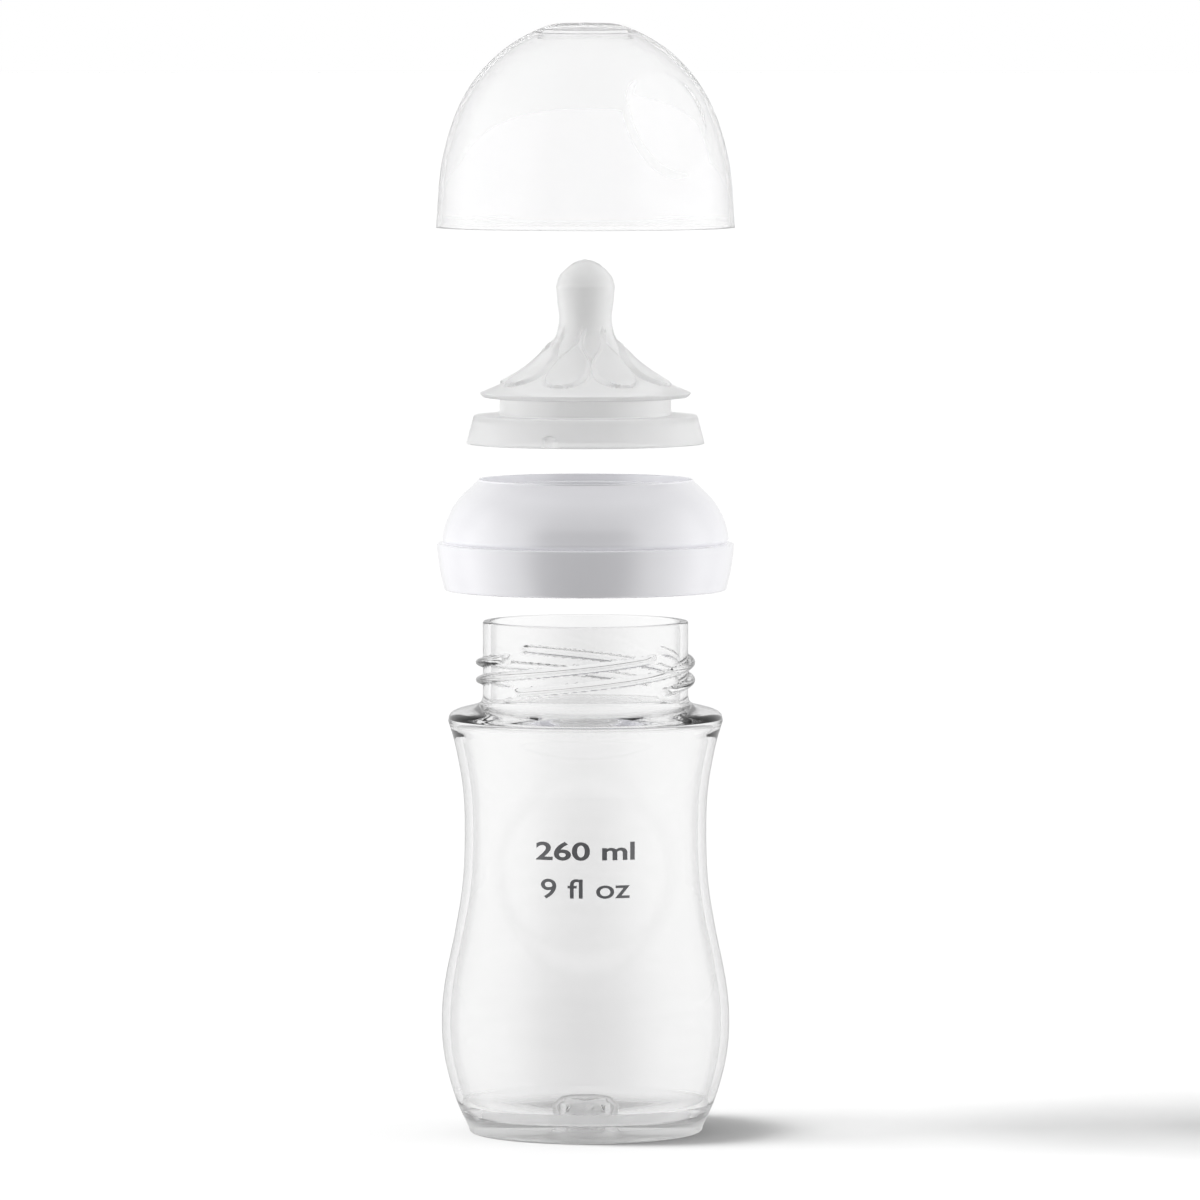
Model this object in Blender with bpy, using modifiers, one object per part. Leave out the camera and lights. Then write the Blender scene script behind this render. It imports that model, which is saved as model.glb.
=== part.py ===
"""Wide-neck baby bottle, drawn apart: bottle, screw ring, teat and cap stand above each other on one axis.

The origin is the centre of the base, +Z is up and -Y is the front. Lengths below are in millimetres.
Each piece is modelled from its own underside and placed by its location on the shared axis.
"""

from math import asin, atan2, cos, pi, radians, sin, sqrt, tau

import bmesh
import bpy
from mathutils import Matrix, Vector

MM = 0.001
SEGMENTS = 36

# Where the underside of each loose piece hangs above the bottle.
RING_Z = 131.3
TEAT_Z = 166.6
CAP_Z = 218.7

# Bottle.
WALL = 2.0
RIM_Z = 123.8
NECK_R = 24.8
NECK_BORE_R = 22.9
SHOULDER_R = 33.2
SHOULDER_Z = 99.7
HEEL_R = 1.2
HEEL_EDGE = 27.2
FLOOR_Z = 4.2
BOSS_BASE_R, BOSS_TOP_R = 9.0, 6.0
BOSS_BASE_Z, BOSS_TOP_Z = 5.3, 9.7

# Round grip panel pressed into the front of the waist.
PANEL_Z = 62.4
PANEL_R = 21.4
PANEL_DEPTH = 0.5

# Four-start right-hand thread. The bottle's ridges and the ring's share one lead.
STARTS = 4
START_GAP = 4.24
LEAD = STARTS * START_GAP
NECK_RIDGE_R, NECK_RIDGE_HALF = 25.55, 0.95
NECK_RIDGE_LOW, NECK_RIDGE_TURN = 107.4, 0.5
NECK_RIDGE_START = -135.0
RING_RIDGE_R, RING_RIDGE_HALF = 26.4, 1.05
RING_RIDGE_LOW, RING_RIDGE_TURN = 3.4, 0.25
RIDGE_STEP = 10.0

# Screw ring: a domed shell, and the threaded sleeve inside it.
RING_BOTTOM_R = 34.1
LEDGE_R, LEDGE_Z = 35.9, 11.4
DOME_R, DOME_Z = 34.6, 11.8
RING_TOP_R, RING_TOP_Z = 26.0, 26.8
HOLE_R = 20.9
PLATE_Z = 21.5
COLLAR_Z = 25.2
RECESS_R, RECESS_Z = 25.65, 24.4
SLEEVE_R, SLEEVE_WALL = 27.2, 1.7
SLEEVE_LOW, SLEEVE_TOP = 1.2, 14.2
WEB_R, WEB_THICK = 31.4, 1.8

# Teat.
TEAT_WALL = 1.5
SKIRT_R, SKIRT_TOP_R, SKIRT_TOP_Z = 28.7, 27.0, 7.0
SEAT_Z, SEAT_R = 5.6, 25.5
GROOVE_R, GROOVE_LOW, GROOVE_HIGH = 20.7, 7.5, 10.7
LIP_R, LIP_Z = 25.4, 12.1
TIP_Z, TIP_HOLE_R = 44.4, 0.45
PETALS = 8
PETAL_TURN = -16.0
PETAL_Z = 18.4
PETAL_SIZE = (5.6, 3.0, 1.1)
VENT_TURN, VENT_R, VENT_TOP, VENT_DEPTH = -17.7, 1.55, 3.0, 0.5

# Cap.
CAP_R, CAP_TOP = 36.0, 49.3
CAP_WALL = 1.1
CAP_RIM_BORE = 34.95
DISH_R, DISH_TURN, DISH_Z = 12.3, 41.8, 27.0
DISH_SINK = 3.3
DISH_BALL_R = 63.0
GATE_RING_R, GATE_RING_WIDE, GATE_RING_DEEP = 11.2, 0.9, 0.8


def clear_scene():
    for obj in list(bpy.data.objects):
        bpy.data.objects.remove(obj, do_unlink=True)


def collection(name, hidden):
    made = bpy.data.collections.new(name)
    made.hide_render = hidden
    bpy.context.scene.collection.children.link(made)
    return made


def material(name, colour, roughness, alpha=1.0):
    made = bpy.data.materials.new(name)
    made.use_nodes = True
    shader = made.node_tree.nodes["Principled BSDF"]
    shader.inputs["Base Color"].default_value = (*colour, 1.0)
    shader.inputs["Roughness"].default_value = roughness
    shader.inputs["Metallic"].default_value = 0.0
    shader.inputs["Alpha"].default_value = alpha
    return made


def smooth_line(points, steps):
    """A Catmull-Rom curve through every point, with this many steps from each point to the next."""
    ends = [2 * Vector(points[0]) - Vector(points[1]), 2 * Vector(points[-1]) - Vector(points[-2])]
    knots = [ends[0], *map(Vector, points), ends[1]]
    line = [tuple(points[0])]
    for a, b, c, d in zip(knots, knots[1:], knots[2:], knots[3:]):
        for step in range(1, steps + 1):
            t = step / steps
            bend = 2 * a - 5 * b + 4 * c - d
            swing = 3 * b - a - 3 * c + d
            line.append(tuple(0.5 * (2 * b + (c - a) * t + bend * t * t + swing * t**3)))
    return line


def arc(centre, radius, first, last, steps):
    """Points round a centre in the profile's plane, from one angle to another in degrees."""
    line = []
    for step in range(steps + 1):
        angle = radians(first + (last - first) * step / steps)
        line.append((centre[0] + radius * cos(angle), centre[1] + radius * sin(angle)))
    return line


def joined(*stretches):
    """The stretches of an outline one after another, with each doubled point kept once."""
    outline = []
    for point in (point for stretch in stretches for point in stretch):
        if not outline or (Vector(point) - Vector(outline[-1])).length > 1e-3:
            outline.append(tuple(point))
    return outline


def put_in(group, name, mesh, skin=None):
    obj = bpy.data.objects.new(name, mesh)
    group.objects.link(obj)
    if skin:
        mesh.materials.append(skin)
    if group.hide_render:
        obj.hide_render = True
        obj.display_type = "WIRE"
    return obj


def turned(group, name, outline, skin=None, segments=SEGMENTS, loop=False):
    """A solid of revolution about Z from an outline of (radius, height) in millimetres."""
    mesh = bpy.data.meshes.new(name)
    count = len(outline)
    edges = [(i, i + 1) for i in range(count - 1)] + [(count - 1, 0)] * loop
    mesh.from_pydata([(r * MM, 0, z * MM) for r, z in outline], edges, [])
    obj = put_in(group, name, mesh, skin)
    screw = obj.modifiers.new("turn", "SCREW")
    screw.axis = "Z"
    screw.steps = segments
    screw.render_steps = segments
    screw.use_merge_vertices = True
    screw.merge_threshold = 1e-6
    screw.use_smooth_shade = True
    return obj


def boolean(obj, operation, other):
    """Joins or cuts obj with another object, or with every object of a collection."""
    cut = obj.modifiers.new(operation.lower() + "_" + other.name, "BOOLEAN")
    cut.operation = operation
    cut.solver = "EXACT"
    if isinstance(other, bpy.types.Collection):
        cut.operand_type = "COLLECTION"
        cut.collection = other
    else:
        cut.object = other
    return cut


def ridge(group, name, radius, half, low, turn, start):
    """One round-backed thread ridge: a helical bar, tapered at both ends, made into a closed mesh."""
    curve = bpy.data.curves.new(name, "CURVE")
    curve.dimensions = "3D"
    curve.bevel_depth = half * MM
    curve.bevel_resolution = 2
    curve.use_fill_caps = True
    steps = round(360 * turn / RIDGE_STEP)
    spline = curve.splines.new("POLY")
    spline.points.add(steps)
    for i, point in enumerate(spline.points):
        angle = radians(start) + tau * turn * i / steps
        height = low + LEAD * turn * i / steps
        point.co = (radius * cos(angle) * MM, radius * sin(angle) * MM, height * MM, 1)
        point.radius = 0.55 if i in (0, steps) else 1.0
    guide = bpy.data.objects.new(name, curve)
    group.objects.link(guide)
    bpy.context.view_layer.update()
    mesh = bpy.data.meshes.new_from_object(guide.evaluated_get(bpy.context.evaluated_depsgraph_get()))
    bpy.data.objects.remove(guide, do_unlink=True)
    shape = bmesh.new()
    shape.from_mesh(mesh)
    bmesh.ops.remove_doubles(shape, verts=shape.verts, dist=1e-6)
    bmesh.ops.recalc_face_normals(shape, faces=shape.faces)
    shape.to_mesh(mesh)
    shape.free()
    return put_in(group, name, mesh)


def thread(cutters, name, radius, half, low, turn, start):
    """The ridges of every start, as a collection for one Boolean."""
    group = bpy.data.collections.new(name)
    group.hide_render = True
    cutters.children.link(group)
    for i in range(STARTS):
        ridge(group, f"{name}_{i + 1}", radius, half, low, turn, start + 360 / STARTS * i)
    return group


def body_line(shrink=0.0, low=HEEL_R, steps=2):
    """The bottle's side from the heel to the shoulder, moved inwards by shrink."""
    side = [
        (28.4, HEEL_R),
        (31.6, 8.5),
        (34.1, 18.0),
        (34.8, 27.1),
        (34.0, 36.5),
        (31.4, 49.5),
        (29.7, 60.5),
        (29.2, 72.1),
        (29.6, 83.0),
        (31.4, 93.4),
        (SHOULDER_R, SHOULDER_Z),
    ]
    return [(r - shrink, z) for r, z in smooth_line(side, steps) if z >= low]


def make_bottle(parts, cutters):
    boss_slope = [(BOSS_TOP_R, BOSS_TOP_Z - 0.4), (BOSS_BASE_R, BOSS_BASE_Z)]
    inner_side = body_line(WALL, FLOOR_Z + 3.0, steps=1)
    inside = joined(
        [(0, BOSS_TOP_Z), (BOSS_TOP_R - 0.8, BOSS_TOP_Z), *boss_slope],
        [(17.0, FLOOR_Z + 0.5), (25.0, FLOOR_Z), (27.4, FLOOR_Z + 0.6), (29.0, FLOOR_Z + 2.2)],
        inner_side[:-1],
        [(31.2, 98.9), (30.2, 100.1), (24.9, 101.4), (23.5, 102.2), (NECK_BORE_R, 103.8)],
    )
    lip = 0.6
    rim = joined(
        arc((NECK_BORE_R + lip, RIM_Z - lip), lip, 180, 90, 2),
        arc((NECK_R - lip, RIM_Z - lip), lip, 90, 0, 2),
    )
    shoulder = [(NECK_R, 105.6), (25.3, 104.2), (26.8, 103.4), (31.0, 102.3), (32.7, 101.3)]
    outside = joined(shoulder, reversed(body_line()), arc((HEEL_EDGE, HEEL_R), HEEL_R, 0, -90, 2))
    underside = [(22.0, 0), (20.6, 0.9), (11.0, 2.0), (7.4, 2.6), (4.6, 6.6), (0, 7.0)]
    skin = material("clear_plastic", (0.93, 0.95, 0.96), 0.05, 0.3)
    bottle = turned(parts, "bottle", joined(inside, rim, outside, underside), skin)

    core_line = body_line(PANEL_DEPTH, 30.0)
    core = turned(cutters, "panel_core", [(0, 95.0), *reversed(core_line[:-2]), (0, core_line[0][1])])
    plug = bpy.data.meshes.new("panel_plug")
    shape = bmesh.new()
    bmesh.ops.create_cone(
        shape, cap_ends=True, segments=48, radius1=PANEL_R * MM, radius2=PANEL_R * MM, depth=0.04
    )
    shape.transform(Matrix.Translation((0, -0.035, PANEL_Z * MM)) @ Matrix.Rotation(pi / 2, 4, "X"))
    shape.to_mesh(plug)
    shape.free()
    panel = put_in(cutters, "panel_plug", plug)
    boolean(panel, "DIFFERENCE", core)
    boolean(bottle, "DIFFERENCE", panel)
    ridges = thread(
        cutters,
        "neck_ridge",
        NECK_RIDGE_R,
        NECK_RIDGE_HALF,
        NECK_RIDGE_LOW,
        NECK_RIDGE_TURN,
        NECK_RIDGE_START,
    )
    boolean(bottle, "UNION", ridges)
    return bottle


def make_ring_shell(parts):
    band = smooth_line([(LEDGE_R, LEDGE_Z - 0.2), (35.5, 7.4), (34.9, 4.0), (RING_BOTTOM_R, 1.0)], 1)
    dome = smooth_line(
        [(RING_TOP_R, RING_TOP_Z), (30.9, 21.6), (33.6, 16.6), (DOME_R, DOME_Z + 0.2)], 2
    )
    inner_dome = smooth_line([(32.5, 11.6), (31.3, 16.6), (29.3, 20.0), (27.7, PLATE_Z)], 2)
    outline = joined(
        dome,
        [(DOME_R - 0.2, LEDGE_Z), (LEDGE_R - 0.3, LEDGE_Z)],
        band,
        arc((RING_BOTTOM_R - 0.9, 0.9), 0.9, 0, -90, 2),
        [(32.6, 0), (32.2, 0.5), (33.0, 4.0), (33.6, 8.8), (33.3, 10.0)],
        inner_dome,
        [(HOLE_R + 0.3, PLATE_Z), (HOLE_R, PLATE_Z + 0.3), (HOLE_R, COLLAR_Z - 0.3)],
        [(HOLE_R + 0.3, COLLAR_Z), (22.0, COLLAR_Z), (22.4, RECESS_Z), (RECESS_R - 0.2, RECESS_Z)],
        [(RECESS_R, RECESS_Z + 0.2), (RECESS_R, RING_TOP_Z)],
    )
    skin = material("white_plastic", (0.93, 0.93, 0.93), 0.12)
    ring = turned(parts, "screw_ring_shell", outline, skin, loop=True)
    ring.location.z = RING_Z * MM
    return ring


def make_ring_sleeve(parts, cutters):
    outer = SLEEVE_R + SLEEVE_WALL
    outline = [
        (WEB_R, SLEEVE_TOP),
        (WEB_R, SLEEVE_TOP - WEB_THICK),
        (outer, SLEEVE_TOP - WEB_THICK),
        (outer, SLEEVE_LOW),
        (SLEEVE_R + 0.6, SLEEVE_LOW),
        (SLEEVE_R, SLEEVE_LOW + 0.8),
        (SLEEVE_R, SLEEVE_TOP),
    ]
    skin = material("white_sleeve_plastic", (0.9, 0.9, 0.9), 0.2)
    sleeve = turned(parts, "screw_ring_sleeve", outline, skin, loop=True)
    sleeve.location.z = RING_Z * MM
    # Each ridge runs midway between two neck ridges, on the same helix carried up to the raised ring.
    rise = RING_Z + RING_RIDGE_LOW - NECK_RIDGE_LOW - START_GAP / 2
    start = NECK_RIDGE_START + 360 * rise / LEAD
    ridges = thread(
        cutters,
        "sleeve_ridge",
        RING_RIDGE_R,
        RING_RIDGE_HALF,
        RING_Z + RING_RIDGE_LOW,
        RING_RIDGE_TURN,
        start,
    )
    boolean(sleeve, "UNION", ridges)
    return sleeve


def add_petals(cutters, teat):
    """Raised drop-shaped pads round the cone, each turned a little to one side."""
    group = bpy.data.collections.new("petals")
    group.hide_render = True
    cutters.children.link(group)
    slope = radians(54)
    for i in range(PETALS):
        shape = bmesh.new()
        bmesh.ops.create_uvsphere(shape, u_segments=12, v_segments=6, radius=1.0)
        place = (
            Matrix.Rotation(radians(PETAL_TURN - 90) + tau * i / PETALS, 4, "Z")
            @ Matrix.Translation(Vector((13.7, 0, TEAT_Z + PETAL_Z)) * MM)
            @ Matrix.Rotation(pi / 2 - slope, 4, "Y")
            @ Matrix.Rotation(radians(25), 4, "Z")
            @ Matrix.Diagonal((*(size * MM for size in PETAL_SIZE), 1))
        )
        shape.transform(place)
        mesh = bpy.data.meshes.new(f"petal_{i + 1}")
        shape.to_mesh(mesh)
        shape.free()
        put_in(group, mesh.name, mesh)
    boolean(teat, "UNION", group)


def cut_vent(cutters, teat):
    """An arched pocket in the skirt for the air valve."""
    group = bpy.data.collections.new("vent")
    group.hide_render = True
    cutters.children.link(group)
    face_r = SKIRT_R - VENT_TOP / 2 * (SKIRT_R - SKIRT_TOP_R) / SKIRT_TOP_Z - VENT_DEPTH
    place = Matrix.Rotation(radians(VENT_TURN - 90), 4, "Z") @ Matrix.Translation(
        Vector((face_r + 2.0, 0, TEAT_Z + VENT_TOP)) * MM
    )
    arch = bmesh.new()
    bmesh.ops.create_cone(
        arch, cap_ends=True, segments=24, radius1=VENT_R * MM, radius2=VENT_R * MM, depth=4 * MM
    )
    arch.transform(place @ Matrix.Rotation(pi / 2, 4, "Y"))
    foot = bmesh.new()
    bmesh.ops.create_cube(foot, size=1.0)
    size = Matrix.Diagonal((4 * MM, 1.98 * VENT_R * MM, 5 * MM, 1))
    foot.transform(place @ Matrix.Translation((0, 0, -2.5 * MM)) @ size)
    for name, shape in (("vent_arch", arch), ("vent_foot", foot)):
        mesh = bpy.data.meshes.new(name)
        shape.to_mesh(mesh)
        shape.free()
        put_in(group, name, mesh)
    boolean(teat, "DIFFERENCE", group)


def make_teat(parts, cutters):
    cone = smooth_line(
        [
            (TIP_HOLE_R, TIP_Z),
            (4.6, 42.6),
            (7.1, 38.0),
            (6.35, 30.8),
            (7.6, 25.0),
            (11.6, 20.1),
            (17.5, 15.9),
            (LIP_R, LIP_Z),
        ],
        2,
    )
    inner_cone = smooth_line(
        [
            (GROOVE_R - TEAT_WALL, 11.2),
            (16.0, 14.2),
            (9.9, 19.2),
            (6.1, 24.6),
            (4.85, 30.8),
            (5.5, 37.6),
            (3.2, 41.4),
            (TIP_HOLE_R, 42.6),
        ],
        1,
    )
    outline = joined(
        cone,
        [(24.5, 11.2), (GROOVE_R + 0.4, 11.1), (GROOVE_R, GROOVE_HIGH), (GROOVE_R, GROOVE_LOW)],
        [(GROOVE_R + 0.4, SKIRT_TOP_Z + 0.1), (SKIRT_TOP_R - 0.5, SKIRT_TOP_Z)],
        [(SKIRT_TOP_R, SKIRT_TOP_Z - 0.5), (SKIRT_R, 0.4), (SKIRT_R - 0.3, 0), (SKIRT_R - 1.5, 0)],
        [(SEAT_R, SEAT_Z - 0.4), (SEAT_R - 0.5, SEAT_Z), (GROOVE_R - TEAT_WALL, SEAT_Z + 0.2)],
        inner_cone,
    )
    skin = material("clear_silicone", (0.86, 0.85, 0.84), 0.3, 0.7)
    teat = turned(parts, "teat", outline, skin, loop=True)
    teat.location.z = TEAT_Z * MM
    add_petals(cutters, teat)
    cut_vent(cutters, teat)
    return teat


def dome_line(shrink, foot):
    """The cap's dome from the axis down to the rim, moved inwards by shrink."""
    side = [(0, CAP_TOP), (9.5, 48.4), (20.5, 42.2), (29.3, 31.6), (34.4, 16.7), (CAP_R, foot)]
    line = []
    for r, z in smooth_line(side, 2):
        lean = sqrt(max(0.0, 1 - (r / CAP_R) ** 2))
        line.append((max(0.0, r - shrink * sqrt(1 - lean**2)), z - shrink * lean))
    return line


def lens(group, name, ball_r, sink, normal, spot):
    """A shallow dish-shaped solid that lies sink deep under a spot on the dome."""
    half_angle = asin(1.25 * DISH_R / ball_r)
    base = ball_r * (1 - cos(half_angle))
    dish = [
        (ball_r * sin(half_angle * i / 5), ball_r * (1 - cos(half_angle * i / 5))) for i in range(5, -1, -1)
    ]
    outline = [(0, base + 8.0), (1.25 * DISH_R, base + 8.0), *dish]
    obj = turned(group, name, outline, segments=36)
    obj.matrix_world = Matrix.Translation((spot - sink * normal) * MM) @ normal.to_track_quat(
        "Z", "X"
    ).to_matrix().to_4x4()
    return obj


def make_cap(parts, cutters):
    line = dome_line(0, 0)
    inner = dome_line(CAP_WALL, 0)
    above, below = inner[:-1], (CAP_RIM_BORE, 2.0)
    rib = [(GATE_RING_R - GATE_RING_WIDE / 2, -GATE_RING_DEEP), (GATE_RING_R + GATE_RING_WIDE / 2, 0)]
    crown = [point for point in above if point[0] < rib[0][0] - 0.3]
    side = [point for point in above if point[0] > rib[1][0] + 0.3 and point[1] > 2.5]
    level = crown[-1][1] - 0.4
    notch = [
        (rib[0][0], level),
        (rib[0][0] + 0.05, level - GATE_RING_DEEP),
        (rib[1][0] - 0.05, level - GATE_RING_DEEP - 0.1),
        (rib[1][0], level - 0.3),
    ]
    skin = material("frosted_plastic", (0.88, 0.89, 0.9), 0.15, 0.5)
    cap = turned(parts, "cap", [*line, (0, 0)], skin, segments=48)
    cap.location.z = CAP_Z * MM
    cavity = turned(
        cutters, "cap_cavity", [*crown, *notch, *side, below, (CAP_RIM_BORE, -3.0), (0, -3.0)], segments=48
    )
    cavity.location.z = CAP_Z * MM

    turn = radians(DISH_TURN)
    radius = next(r for r, z in line if z <= DISH_Z + 1.5)
    lower = next(p for p in line if p[1] <= DISH_Z - 3)
    upper = [p for p in line if p[1] >= DISH_Z + 3][-1]
    rise = atan2(lower[0] - upper[0], upper[1] - lower[1])
    normal = Vector((cos(rise) * sin(turn), -cos(rise) * cos(turn), sin(rise)))
    spot = Vector((radius * sin(turn), -radius * cos(turn), CAP_Z + DISH_Z))
    outer_lens = lens(cutters, "dish_outside", DISH_BALL_R, DISH_SINK, normal, spot)
    inner_lens = lens(cutters, "dish_inside", DISH_BALL_R + CAP_WALL, DISH_SINK + CAP_WALL, normal, spot)
    boolean(cavity, "DIFFERENCE", inner_lens)
    boolean(cap, "DIFFERENCE", outer_lens)
    boolean(cap, "DIFFERENCE", cavity)
    return cap


def main():
    clear_scene()
    parts = collection("baby_bottle", hidden=False)
    cutters = collection("cutters", hidden=True)
    pieces = [
        make_bottle(parts, cutters),
        make_ring_shell(parts),
        make_ring_sleeve(parts, cutters),
        make_teat(parts, cutters),
        make_cap(parts, cutters),
    ]
    axis = bpy.data.objects.new("bottle_axis", None)
    parts.objects.link(axis)
    for piece in pieces:
        piece.parent = axis


main()
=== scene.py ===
"""Looks for a wide-neck baby bottle drawn apart: bottle, screw ring, teat and cap on one axis.

Outlines are (radius, height) in millimetres, with the height measured from the underside of the piece's own
CAD node. The sleeve is measured from the underside of the ring's shell. Turns go round the axis, from 0 at
the front (-Y) towards +X: in degrees in the named values, in radians inside the shape functions.
"""

from math import atan, cos, pi, radians, sin, tau

import bmesh
import bpy
import numpy as np
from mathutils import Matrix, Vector


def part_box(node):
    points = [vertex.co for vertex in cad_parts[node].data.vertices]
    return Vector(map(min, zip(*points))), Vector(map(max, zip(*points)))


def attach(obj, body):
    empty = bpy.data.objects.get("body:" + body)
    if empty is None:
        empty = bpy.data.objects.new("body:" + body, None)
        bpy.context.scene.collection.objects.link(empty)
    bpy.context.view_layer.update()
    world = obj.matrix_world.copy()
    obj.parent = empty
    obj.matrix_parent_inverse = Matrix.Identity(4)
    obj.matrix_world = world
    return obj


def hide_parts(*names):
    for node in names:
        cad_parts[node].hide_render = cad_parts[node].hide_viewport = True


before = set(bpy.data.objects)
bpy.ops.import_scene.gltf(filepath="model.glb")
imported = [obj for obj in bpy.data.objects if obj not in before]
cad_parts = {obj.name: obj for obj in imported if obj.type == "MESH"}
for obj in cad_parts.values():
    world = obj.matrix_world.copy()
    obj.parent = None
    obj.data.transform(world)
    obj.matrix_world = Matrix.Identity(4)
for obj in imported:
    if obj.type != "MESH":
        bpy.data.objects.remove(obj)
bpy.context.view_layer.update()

MM = 0.001
TURNS = 256
SAME_POINT = 0.005
CREASE = 38.0


def foot_of(node):
    """The height of a CAD node's underside, in metres."""
    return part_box(node)[0].z


BOTTLE_FOOT = foot_of("bottle")
BOTTLE_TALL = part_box("bottle")[1].z - BOTTLE_FOOT
RING_FOOT = foot_of("screw_ring_shell")
TEAT_FOOT = foot_of("teat")
CAP_FOOT = foot_of("cap")


# ---------------------------------------------------------------- outlines


def smooth_line(points, steps):
    """A Catmull-Rom curve through every point, with this many steps from each point to the next."""
    ends = [2 * Vector(points[0]) - Vector(points[1]), 2 * Vector(points[-1]) - Vector(points[-2])]
    knots = [ends[0], *map(Vector, points), ends[1]]
    line = [tuple(points[0])]
    for a, b, c, d in zip(knots, knots[1:], knots[2:], knots[3:]):
        for step in range(1, steps + 1):
            t = step / steps
            bend = 2 * a - 5 * b + 4 * c - d
            swing = 3 * b - a - 3 * c + d
            line.append(tuple(0.5 * (2 * b + (c - a) * t + bend * t * t + swing * t**3)))
    return line


def straight(first, last, steps):
    """Evenly spaced points from first to last."""
    a, b = Vector(first), Vector(last)
    return [tuple(a.lerp(b, step / steps)) for step in range(steps + 1)]


def rounded(corners, steps=4):
    """An open outline whose corners, given as (radius, height, rounding), are eased over that length."""
    line = [tuple(corners[0][:2])]
    for before, here, after in zip(corners, corners[1:], corners[2:]):
        corner = Vector(here[:2])
        to_start, to_end = Vector(before[:2]) - corner, Vector(after[:2]) - corner
        ease = here[2] if len(here) > 2 else 0.0
        if not ease:
            line.append(tuple(corner))
            continue
        start = corner + to_start.normalized() * min(ease, 0.45 * to_start.length)
        end = corner + to_end.normalized() * min(ease, 0.45 * to_end.length)
        for step in range(steps + 1):
            t = step / steps
            line.append(tuple(start * (1 - t) ** 2 + corner * 2 * t * (1 - t) + end * t * t))
    line.append(tuple(corners[-1][:2]))
    return line


def smoothstep(low, high, value):
    """0 up to low, 1 from high on, and a soft rise between them."""
    share = np.clip((value - low) / (high - low), 0.0, 1.0)
    return share * share * (3 - 2 * share)


def turned(name, stretches, foot, closed=False, turns=TURNS):
    """A surface of revolution standing at height foot.

    Each stretch is (points, shape), and a shape that isn't None moves its grid of radius, height and turn.
    A closed outline is joined end to end; an open one starts and ends on the axis.
    """
    rows = []
    turn = np.arange(turns) * tau / turns
    for points, shape in stretches:
        for at, (radius, height) in enumerate(points):
            if rows and at == 0:
                gap = np.hypot(radius - rows[-1][3], height - rows[-1][4])
                if gap < SAME_POINT:
                    continue
            r, z, a = np.full(turns, float(radius)), np.full(turns, float(height)), turn
            if shape:
                r, z, a = shape(r, z, a)
            rows.append((r * np.sin(a), -r * np.cos(a), z, radius, height))
    mesh_points, faces, rings = [], [], []
    for x, y, z, radius, height in rows:
        if radius == 0.0:
            rings.append([len(mesh_points)])
            mesh_points.append((0.0, 0.0, z[0]))
        else:
            rings.append(range(len(mesh_points), len(mesh_points) + turns))
            mesh_points.extend(zip(x, y, z))
    pairs = list(zip(rings, rings[1:])) + ([(rings[-1], rings[0])] if closed else [])
    for upper, lower in pairs:
        for i in range(turns):
            j = (i + 1) % turns
            above = [upper[i % len(upper)], upper[j % len(upper)]]
            below = [lower[j % len(lower)], lower[i % len(lower)]]
            faces.append(tuple(dict.fromkeys(above + below)))
    points = np.array(mesh_points) * MM + (0.0, 0.0, foot)
    mesh = bpy.data.meshes.new(name)
    mesh.from_pydata(points.tolist(), [], faces)
    return finished(name, mesh)


def finished(name, mesh):
    """Gives a closed mesh outward faces and smooth shading, with creases kept, and puts it in the scene."""
    shape = bmesh.new()
    shape.from_mesh(mesh)
    bmesh.ops.recalc_face_normals(shape, faces=shape.faces)
    shape.to_mesh(mesh)
    shape.free()
    mesh.shade_smooth()
    mesh.set_sharp_from_angle(angle=radians(CREASE))
    obj = bpy.data.objects.new(name, mesh)
    bpy.context.scene.collection.objects.link(obj)
    return obj


# ---------------------------------------------------------------- node trees


def node(tree, kind, inputs=None, **settings):
    """Adds a shader node. Each input is given by name or number, as a value or as another node's output."""
    made = tree.nodes.new(kind)
    for name, value in settings.items():
        setattr(made, name, value)
    for name, value in (inputs or {}).items():
        if isinstance(value, bpy.types.NodeSocket):
            tree.links.new(value, made.inputs[name])
        else:
            made.inputs[name].default_value = value
    return made


def ramp(tree, factor, stops, interpolation="EASE"):
    """A colour ramp of grey or RGB stops, each (position, value)."""
    made = node(tree, "ShaderNodeValToRGB", {"Fac": factor})
    made.color_ramp.interpolation = interpolation
    elements = made.color_ramp.elements
    while len(elements) < len(stops):
        elements.new(0.5)
    for element, (position, value) in zip(elements, stops):
        element.position = position
        colour = value if isinstance(value, tuple) else (value, value, value)
        element.color = (*colour, 1.0)
    return made.outputs["Color"]


def new_tree(name):
    """A material with an empty node tree, and that tree."""
    made = bpy.data.materials.new(name)
    made.use_nodes = True
    made.node_tree.nodes.clear()
    return made, made.node_tree


def noise(tree, scale, detail=3.0, stretch=(1.0, 1.0, 1.0)):
    """Noise in the object's own metres, about one blob per 1 / scale metres."""
    place = node(tree, "ShaderNodeTexCoord").outputs["Object"]
    mapped = node(tree, "ShaderNodeMapping", {"Vector": place, "Scale": stretch}).outputs["Vector"]
    inputs = {"Vector": mapped, "Scale": scale, "Detail": detail}
    return node(tree, "ShaderNodeTexNoise", inputs).outputs["Fac"]


def between(tree, factor, low, high):
    """The 0.3 to 0.7 swing of a noise, spread from low to high."""
    inputs = {"Value": factor, "From Min": 0.3, "From Max": 0.7, "To Min": low, "To Max": high}
    return node(tree, "ShaderNodeMapRange", inputs).outputs["Result"]


def bump(tree, height, depth, strength=1.0):
    """A surface normal from a height field, depth metres deep."""
    inputs = {"Height": height, "Distance": depth, "Strength": strength}
    return node(tree, "ShaderNodeBump", inputs).outputs["Normal"]


def output(tree, surface, volume=None):
    """Ends a material's tree."""
    inputs = {"Surface": surface, "Volume": volume} if volume else {"Surface": surface}
    node(tree, "ShaderNodeOutputMaterial", inputs)


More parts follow.
